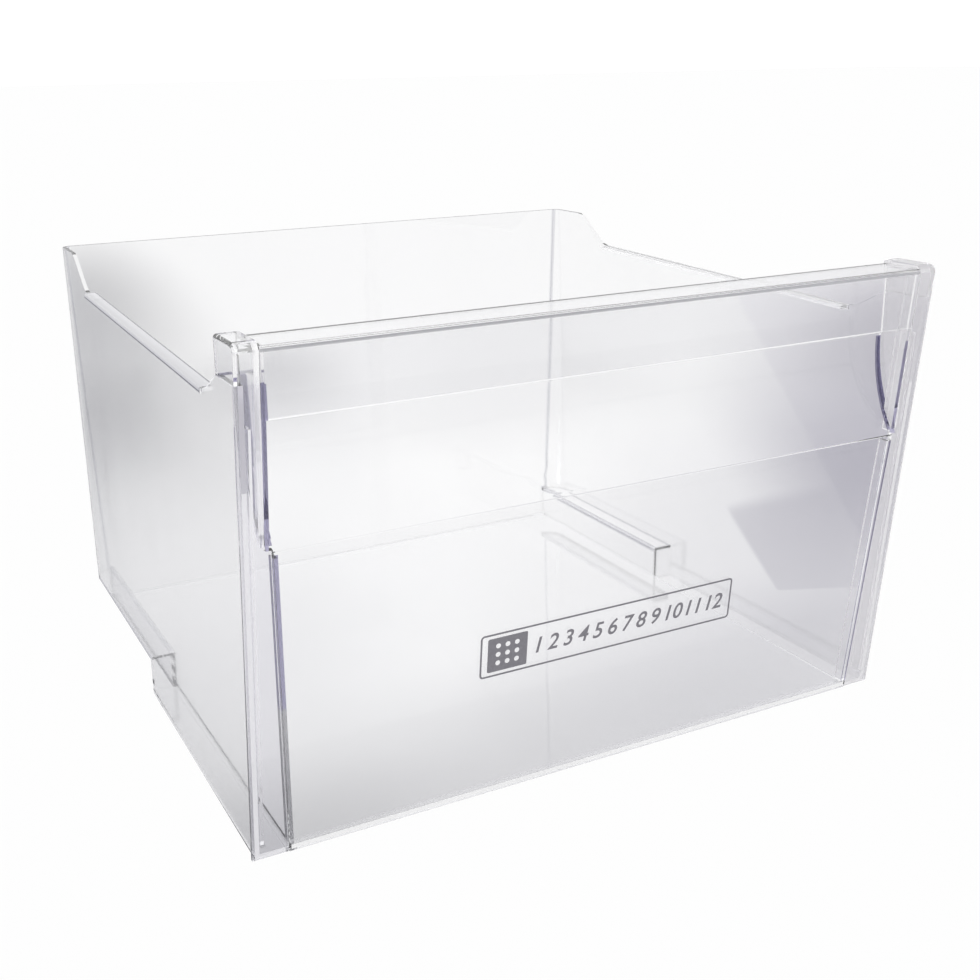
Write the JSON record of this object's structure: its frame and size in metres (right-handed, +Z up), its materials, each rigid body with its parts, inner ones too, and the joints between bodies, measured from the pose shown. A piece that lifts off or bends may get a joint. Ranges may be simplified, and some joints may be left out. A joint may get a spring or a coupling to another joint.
{
  "type": "freezer drawer",
  "caption": "Clear plastic freezer drawer: open tub with rear rail steps and rim flanges, sloping front with a curved finger grip.",
  "frame": {"origin": "middle of the base, under the centre of the overall box, at the height the drawer rests on", "axes": "+Z up, +Y towards the back of the cabinet, -Y out of the cabinet towards the user, +X to the right seen from the front"},
  "size_m": [0.4236, 0.4036, 0.2765],
  "materials": {
    "clear_tub": "clear, glossy",
    "clear_front": "clear, glossy",
    "clear_caps": "clear, glossy"
  },
  "bodies": {
    "root": {"drawer_tub": "clear_tub", "front_panel": "clear_front", "end_cap_left": "clear_caps", "end_cap_right": "clear_caps"}
  },
  "joints": []
}
